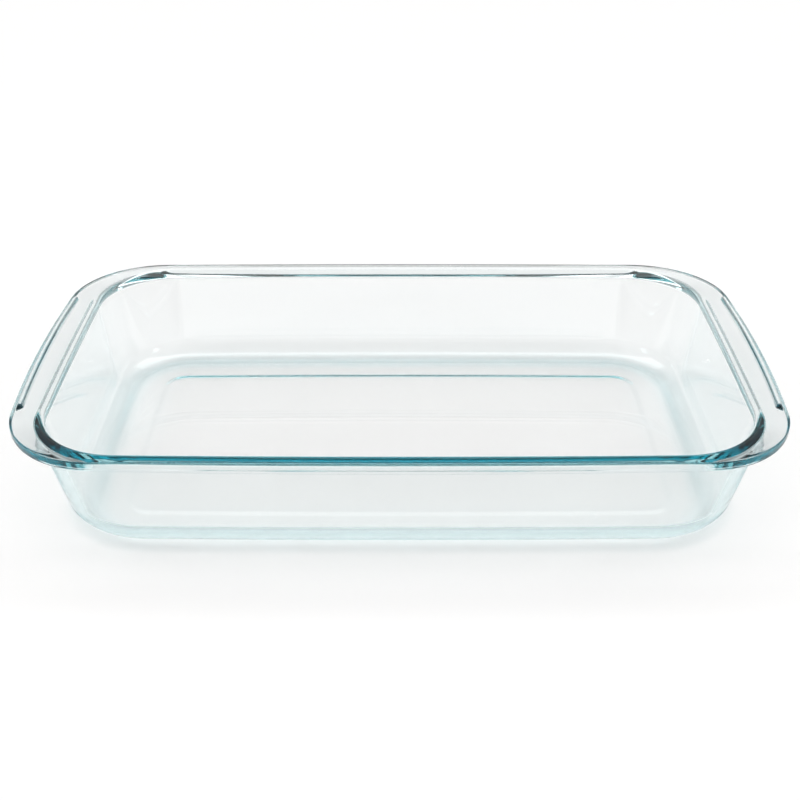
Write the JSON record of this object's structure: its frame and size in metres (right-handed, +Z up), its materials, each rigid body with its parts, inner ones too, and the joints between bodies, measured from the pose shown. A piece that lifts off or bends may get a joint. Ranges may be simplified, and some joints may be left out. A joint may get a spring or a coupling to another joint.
{
  "type": "baking dish",
  "caption": "Oblong clear glass baking dish with drafted walls, rounded corners, an outturned rim and a broad tab handle with a grip ridge at each end.",
  "frame": {"origin": "on the table under the middle of the base, at the foot ring's plane", "axes": "+X along the length, towards one handle; +Y across the width; +Z up"},
  "size_m": [0.3824, 0.229, 0.0589],
  "materials": {
    "tinted_glass": "clear pressed glass, fire polished, with a sea-green tint that shows along the rim and edges"
  },
  "bodies": {
    "root": {"baking_dish": "tinted_glass"}
  },
  "joints": []
}
